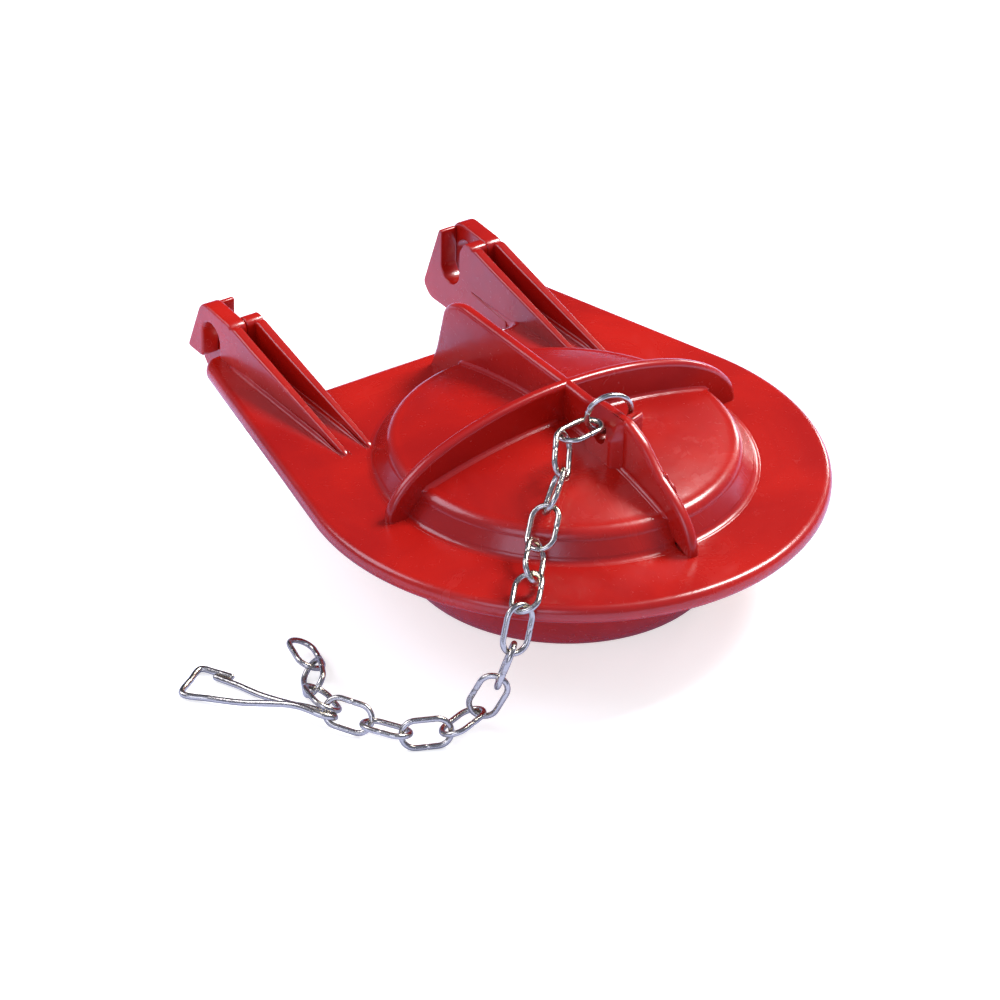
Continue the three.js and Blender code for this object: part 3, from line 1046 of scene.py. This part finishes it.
@dataclass
class Arm(Moulding):
    """One arm: two webs with a channel between them, and a head of two half hooks."""

    way: int
    lean: float = Flange.arms_lean
    gap: float = Flange.arm_gap
    width: float = Flange.arm_width
    web: float = 1.8
    web_front: float = 18.2
    web_front_height: float = 0.4
    web_front_round: float = 0.9
    web_tip: float = 0.35
    web_taper: float = 5.0
    knee: float = 46.3
    knee_height: float = 6.3
    root: float = 1.5
    head_front: float = 51.3
    head_front_height: float = 7.5
    head_top_rear: float = 60.8
    head_height: float = 8.0
    rear: float = 65.2
    outer_under: float = -2.4
    inner_under: float = -7.3
    inner_rear: float = 63.7
    spur: float = 65.6
    spur_height: float = -5.2
    inner_keel: float = 50.0
    inner_front: float = 41.3
    inner_front_height: float = -2.98
    prong_height: float = 6.8
    prong_top: float = 0.9
    slot_width: float = 5.2
    slot_centre: float = 57.7
    slot_top: float = 5.1
    slot_bottom: float = -1.8
    slot_lead: float = 1.5
    edge: float = 0.42
    inner_edge: float = 0.25
    hook_lap: float = 0.01
    hidden: float = 0.003
    foot_fillet: float = 0.7

    def web_outline(self) -> Points:
        """A web seen from the side, from its round front end up to the head.

        Returns:
            The closed outline, points x 2.
        """
        inside = self.head_front + self.root
        corners = [
            [self.web_front, -self.root], [inside, -self.root / 2], [inside, self.knee_height],
            [self.head_front, self.head_front_height - self.hidden], [self.knee, self.knee_height],
            [self.web_front + self.web_front_round, self.web_front_height],
        ]
        return softened(corners, [0.9, 0.9, 0.9, 0.9, 6, 0.9]) + [0, FLANGE_TOP]

    def outer_outline(self) -> Points:
        """The half of the head with the slot open below.

        Returns:
            The closed outline, points x 2.
        """
        radius = self.slot_width / 2
        front, rear = self.slot_centre - radius, self.slot_centre + radius
        round_top = round_arc((self.slot_centre, self.slot_top - radius), radius, math.pi, 0, 25)
        around = rim(
            [[rear, self.slot_top - radius], [rear, self.outer_under],
             [self.rear, self.outer_under], [self.head_top_rear, self.head_height],
             [self.head_front, self.head_front_height], [self.head_front, -self.root],
             [front, -self.root], [front, self.slot_top - radius]],
            [0.1, 0.9, 1.1, 2.2, 1.6, 0.8, 0.8, 0.1], 8,
        )
        return np.concatenate([round_top, around]) + [0, FLANGE_TOP]

    def inner_outline(self) -> Points:
        """The half of the head with the slot open above and a prong behind it.

        Returns:
            The closed outline, points x 2.
        """
        radius = self.slot_width / 2
        front, rear = self.slot_centre - radius, self.slot_centre + radius
        bottom = round_arc((self.slot_centre, self.slot_bottom + radius), radius, 0, -math.pi, 25)
        around = rim(
            [[front, 0], [front, self.prong_height - self.slot_lead],
             [front - self.slot_lead, self.head_front_height + 0.2],
             [self.head_front, self.head_front_height], [self.head_front, -self.root / 2],
             [self.inner_front, -self.root], [self.inner_front, self.inner_front_height],
             [self.inner_keel, self.inner_under], [self.inner_rear, self.inner_under],
             [self.spur, self.spur_height], [rear + self.prong_top, self.prong_height],
             [rear, self.prong_height], [rear, 0]],
            [0.1, 0.6, 0.9, 1.4, 0.6, 0.6, 0.6, 3.5, 1.2, 0.9, 0.44, 0.44, 0.1], 8,
        )
        return np.concatenate([bottom, around]) + [0, FLANGE_TOP]

    def upright(
        self, name: str, outline: Points, near: float, far: float, edge: float,
    ) -> Piece:
        """Stands a plate between two distances from the arms' middle line."""
        low, high = sorted((self.way * near, self.way * far))
        return self.plate(name, outline, low + self.lean, high + self.lean, edge, Plane.ACROSS_X)

    def pointed(self, piece: Piece) -> None:
        """Thins a web towards its front tip.

        Formula: across = middle + (across - middle) (tip + (1 - tip) s), s from 0 at the tip to 1 one
        taper further back.

        Args:
            piece: The web.
        """
        points = points_of(piece)
        middle = (points[:, 0].min() + points[:, 0].max()) / 2
        back = points[:, 1] / MM - self.place.shift[1] - self.web_front
        share = self.web_tip + (1 - self.web_tip) * np.clip(back / self.web_taper, 0, 1)
        points[:, 0] = middle + (points[:, 0] - middle) * share
        piece.data.vertices.foreach_set("co", points.ravel())
        piece.data.update()

    def foot(self, name: str, across: float, way: int) -> None:
        """Fills the corner between a web's face and the flange.

        Args:
            name: The piece's name.
            across: The face's distance from the arms' middle line.
            way: 1 if the corner lies further out than the face.
        """
        length = np.linspace(self.web_front + 0.8, self.head_front + 0.4, 30)
        facing = self.way * way
        x = self.lean + self.way * across - facing * 0.05
        path = np.stack([np.full_like(length, x), length, np.full_like(length, FLANGE_TOP - 0.02)], 1)
        size = self.foot_fillet * np.clip(np.arange(len(path)) / 6, 0.12, 1)
        self.fillet(name, path, 0, facing, size)

    def build(self) -> None:
        """Builds the arm's webs, half hooks and the corners at the webs' feet."""
        tag = "right" if self.way > 0 else "left"
        inner, outer = self.gap / 2, self.gap / 2 + self.width
        split, lap, sunk = inner + self.width / 2, self.hook_lap, self.hidden
        web = self.web_outline()
        self.pointed(self.upright(f"{tag}_inner_web", web, inner + sunk, inner + self.web, self.edge))
        self.pointed(self.upright(f"{tag}_outer_web", web, outer - self.web, outer - sunk, self.edge))
        self.upright(f"{tag}_inner_hook", self.inner_outline(), inner, split + lap, self.inner_edge)
        self.upright(f"{tag}_outer_hook", self.outer_outline(), split - lap, outer, self.edge)
        self.foot(f"{tag}_inner_web_foot", inner + self.web, 1)
        self.foot(f"{tag}_outer_web_foot", outer - self.web, -1)
        self.foot(f"{tag}_outside_foot", outer, 1)


@dataclass(frozen=True)
class Seat:
    """Where a CAD piece lies: its middle and its own long, wide and thin directions."""

    middle: Points
    long: Points
    wide: Points
    thin: Points

    @classmethod
    def of(cls, node: Piece) -> "Seat":
        """Reads the middle and the principal directions of a CAD node's points.

        Args:
            node: The CAD node's object.

        Returns:
            The seat, in the row frame's metres.
        """
        points = points_of(node).astype(float)
        middle = points.mean(0)
        _, _, ways = np.linalg.svd(points - middle, full_matrices=False)
        long, wide = ways[0], ways[1]
        return cls(middle, long, wide, np.cross(long, wide))


@dataclass
class Link(Assembly):
    """One oval link of round wire, closed by a butt joint in a long side."""

    seat: Seat
    wire: float = 0.9
    width: float = 5.2
    pitch: float = 6.3
    play: float = 0.24
    gap: float = 0.12
    groove: float = 0.16

    def build(self, name: str) -> None:
        """Builds the link.

        Formula: a ring of the ends' radius pulled apart by its straights; the wire thins to a fine
        groove at the joint.

        Args:
            name: The piece's name.
        """
        radius = (self.width - self.wire) / 2
        straight = self.pitch + self.wire + self.play - 2 * radius
        quarter = np.linspace(-math.pi / 2, math.pi / 2, 20)
        cap = np.stack([straight / 2 + radius * np.cos(quarter), radius * np.sin(quarter)], 1)
        span = (np.linspace(1, -1, 14) ** 3)[1:-1] * straight / 2
        side = np.stack([span, np.full_like(span, radius)], 1)
        line = np.concatenate([cap, side, -cap, -side])
        path = self.seat.middle + (line[:, :1] * self.seat.long + line[:, 1:] * self.seat.wide) * MM
        along = unit(np.roll(path, -1, 0) - np.roll(path, 1, 0))
        normal = np.tile(self.seat.thin, (len(path), 1))
        near = np.hypot(line[:, 0], line[:, 1] + radius)
        section = scaled(round_section(self.wire / 2 * MM, 18), groove(near, self.gap, self.groove))
        self.keep(swept(name, path, np.cross(along, normal), normal, section, True))


@dataclass
class Ring(Assembly):
    """The round ring through the front rib."""

    seat: Seat
    radius: float = 3.5
    wire: float = 0.9
    gap: float = 0.15
    groove: float = 0.15

    def build(self) -> None:
        """Builds the ring.

        Formula: a round of the ring's radius about its seat, with a fine groove where its wire meets.
        """
        angle = np.linspace(0, 2 * math.pi, 96, endpoint=False)
        out = np.cos(angle)[:, None] * self.seat.long + np.sin(angle)[:, None] * self.seat.wide
        path = self.seat.middle + out * self.radius * MM
        normal = np.tile(self.seat.thin, (len(path), 1))
        away = np.minimum(angle, 2 * math.pi - angle) * self.radius
        section = scaled(round_section(self.wire / 2 * MM, 20), groove(away, self.gap, self.groove))
        self.keep(swept("chain_ring_wire", path, out, normal, section, True))


@dataclass
class Clip(Assembly):
    """The long wire clip on the chain's free end."""

    place: Place
    wire: float = 1.0
    end_round: float = 0.35
    stations: int = 260
    route: tuple = (
        (-60.6, 0.2, 0.7), (-62.2, 3, 0.7), (-63.6, 4.9, 0.7), (-66.2, 3.4, 0.7), (-69.2, 1, 0.7),
        (-66.6, -2.4, 0.8), (-63.4, -7, 1.5), (-60.8, -10.8, 2.6), (-59, -13.8, 3.4), (-57.9, -16, 3.5),
        (-56.9, -17.7, 3.2), (-55.7, -18.5, 2.8), (-54.7, -18.4, 2.2), (-54.4, -17.5, 1.9),
        (-54.8, -16.2, 1.8), (-56.2, -13.8, 1.8), (-57.8, -11, 1.5), (-59.8, -5.8, 0.8),
        (-61.2, -1.8, 0.7), (-63, 2.2, 0.7),
    )

    def line(self) -> Points:
        """The wire's line through its route: centripetal Catmull-Rom, as the CAD has it.

        Returns:
            Stations x 3, evenly spaced, in millimetres.
        """
        points = np.array(self.route, float)
        first = 2 * points[0] - points[1]
        last = 2 * points[-1] - points[-2]
        full = np.concatenate([[first], points, [last]])
        knots = distance_along(full, 0.5)
        where = np.linspace(0, len(points) - 1, 2000)
        part = np.minimum(where.astype(int), len(points) - 2)
        t = knots[part + 1] + (where - part) * (knots[part + 2] - knots[part + 1])
        ends = [full[part + k] for k in range(4)]
        times = [knots[part + k] for k in range(4)]

        def blend(a: Points, b: Points, low: Points, high: Points) -> Points:
            """The point this share of the way from a to b, as t goes from low to high."""
            share = ((t - low) / (high - low))[:, None]
            return a * (1 - share) + b * share

        level = [blend(ends[k], ends[k + 1], times[k], times[k + 1]) for k in range(3)]
        level = [blend(level[k], level[k + 1], times[k], times[k + 2]) for k in range(2)]
        fine = blend(level[0], level[1], times[1], times[2])
        run = distance_along(fine)
        even = np.linspace(0, run[-1], self.stations)
        return np.stack([np.interp(even, run, fine[:, axis]) for axis in range(3)], 1)

    def build(self) -> None:
        """Builds the clip: its wire carried along the line, rounded over at both cut ends."""
        path = self.place.put(self.line())
        along = unit(np.gradient(path, axis=0))
        side = unit(np.cross(along, [0, 0, 1.0]))
        up = np.cross(side, along)
        run = distance_along(path)
        from_end = np.minimum(run, run[-1] - run) / (self.end_round * self.wire * MM)
        shrink = np.sqrt(np.clip(1 - (1 - np.clip(from_end, 0.1, 1)) ** 2, 0.05, 1))
        section = scaled(round_section(self.wire / 2 * MM, 20), shrink)
        self.keep(swept("chain_clip_wire", path, side, up, section, False))


@dataclass(frozen=True)
class PhotoCamera:
    """The camera that the photograph was taken from, about the drawing's own frame."""

    azimuth: float = -36.09
    elevation: float = 32.81
    roll: float = 1.44
    distance: float = 603.98
    focal_pixels: float = 3807.5
    image: float = 1000.0
    shift_right: float = -9.052
    shift_up: float = 8.615
    aim: tuple = (0.3, 1.3, 0.0)
    sensor: float = 36.0
    clip: tuple = (0.01, 20.0)

    def build(self, place: Place) -> None:
        """Builds the camera and makes it the scene's.

        Args:
            place: Where the drawing lies.
        """
        azimuth, elevation, roll = (math.radians(a) for a in (self.azimuth, self.elevation, self.roll))
        level = np.array([math.cos(azimuth), math.sin(azimuth), 0.0])
        outwards = np.array([math.sin(azimuth), -math.cos(azimuth), 0.0])
        back = math.cos(elevation) * outwards + np.array([0.0, 0.0, math.sin(elevation)])
        over = np.cross(back, level)
        right = math.cos(roll) * level + math.sin(roll) * over
        up = math.cos(roll) * over - math.sin(roll) * level
        aim = np.array(self.aim) + self.shift_right * right + self.shift_up * up
        at = place.put(aim + self.distance * back)
        data = bpy.data.cameras.new("camera")
        data.sensor_width = self.sensor
        data.lens = self.sensor * self.focal_pixels / self.image
        data.clip_start, data.clip_end = self.clip
        camera = placed("camera", data)
        turn = Matrix(np.stack([right, up, back], 1).tolist())
        camera.matrix_world = Matrix.Translation(Vector(at.tolist())) @ turn.to_4x4()
        bpy.context.scene.camera = camera


@dataclass(frozen=True)
class Lamp:
    """One soft rectangular light."""

    name: str
    at: tuple
    size: float
    power: float
    colour: tuple
    aim: tuple = (0.0, 0.0, 0.015)

    def build(self) -> Piece:
        """Builds the lamp, aimed at the piece.

        Returns:
            The lamp.
        """
        data = bpy.data.lights.new(self.name, "AREA")
        data.size = self.size
        data.energy = self.power
        data.color = self.colour
        lamp = placed(self.name, data)
        lamp.location = self.at
        aim = Vector(self.aim) - Vector(self.at)
        lamp.rotation_euler = aim.to_track_quat("-Z", "Y").to_euler()
        return lamp


@dataclass(frozen=True)
class Studio:
    """A white floor, a pale surround that is dim in reflections, and soft lamps."""

    lamps: tuple = (
        Lamp("key", (0.55, -0.02, 0.72), 0.30, 12.0, (1.0, 0.98, 0.97)),
        Lamp("back left", (-0.45, 0.42, 0.60), 0.45, 3.4, (0.84, 0.84, 1.0)),
        Lamp("side", (0.80, 0.36, 0.20), 0.16, 1.4, (1.0, 0.98, 0.95)),
        Lamp("fill", (-0.75, -0.55, 0.50), 0.60, 3.5, (0.66, 0.72, 1.0)),
    )
    light: float = 0.6
    mirrored: tuple = (0.19, 0.21, 0.34, 1)
    dark: tuple = (0.03, 0.035, 0.06, 1)
    dark_way: tuple = (0.495, 0.679, 0.542)
    dark_spread: tuple = (0.6, 0.93)
    floor_colour: tuple = (0.62, 0.62, 0.62, 1)
    floor_mirrored: tuple = (0.50, 0.56, 0.88, 1)
    floor_size: float = 6.0
    floor_glow: float = 0.60

    def build(self) -> None:
        """Builds the floor, the surround's light and the lamps."""
        half = self.floor_size / 2
        mesh = bpy.data.meshes.new("floor")
        corners = [(-half, -half, 0), (half, -half, 0), (half, half, 0), (-half, half, 0)]
        mesh.from_pydata(corners, [], [(0, 1, 2, 3)])
        floor = placed("floor", mesh)
        mesh.materials.append(self.floor_paint())
        made = [floor] + [lamp.build() for lamp in self.lamps]
        bpy.context.scene.world = self.surround()
        bpy.context.scene.view_settings.view_transform = "Standard"

    def surround(self) -> bpy.types.World:
        """Even white light on the piece, and in what the piece mirrors a dim blue with a dark patch.

        Formula: the mirrored colour goes from dark to blue as the direction's cosine with the dark
        way falls across the dark spread.

        Returns:
            The world.
        """
        world = bpy.data.worlds.new("surround")
        world.use_nodes = True
        wiring = Wiring(world.node_tree)
        way = wiring.node("ShaderNodeTexCoord").outputs["Generated"]
        inputs = {0: way, 1: self.dark_way}
        facing = wiring.node("ShaderNodeVectorMath", {"operation": "DOT_PRODUCT"}, inputs)
        share = Signal(wiring, facing.outputs["Value"]).ramp(*self.dark_spread)
        colour = wiring.mix(share, self.mirrored, self.dark)
        light = wiring.node("ShaderNodeBackground", inputs={"Color": WHITE, "Strength": self.light})
        dim = wiring.node("ShaderNodeBackground", inputs={"Color": colour})
        wiring.where_glossy(light, dim, "World Output")
        return world

    def floor_paint(self) -> bpy.types.Material:
        """White paint that keeps a soft shadow and is darker in what the piece mirrors.

        Returns:
            The material.
        """
        maker = Maker("white floor")
        grain = maker.noise(60, 3)
        maker.dress(
            Base_Color=self.floor_colour, Roughness=0.8 + grain * 0.1, Specular_IOR_Level=0.1,
            Emission_Color=WHITE, Emission_Strength=self.floor_glow,
        )
        dim = maker.node("ShaderNodeBsdfDiffuse", inputs={"Color": self.floor_mirrored})
        maker.where_glossy(maker.surface, dim, "Material Output")
        return maker.material


def main() -> None:
    """Builds the flapper, its chain and the studio in the CAD's frame."""
    logging.basicConfig(level=logging.INFO, format="%(name)s: %(message)s")
    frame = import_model()
    low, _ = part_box(BODY_NODE)
    place = Place((low.x / MM + Flange.radius, low.y / MM + Flange.radius, 0.0))
    rubber, steel = Rubber().make(), Steel().make()

    bell = Bell(place)
    for part in (Flange(place), bell, Ribs(place, bell), Arm(place, 1), Arm(place, -1)):
        part.build()
        part.dress(rubber, BODY_NODE, "flapper")

    ring = Ring(Seat.of(frame["nodes"]["chain_ring"]))
    ring.build()
    ring.dress(steel, "chain_ring", "ring")
    for name in sorted(n for n in frame["nodes"] if n.startswith("chain_link_")):
        link = Link(Seat.of(frame["nodes"][name]))
        link.build(f"{name}_wire")
        link.dress(steel, name, name.removeprefix("chain_"))
    clip = Clip(place)
    clip.build()
    clip.dress(steel, "chain_clip", "clip")

    Studio().build()
    PhotoCamera().build(place)


if __name__ == "__main__":
    main()
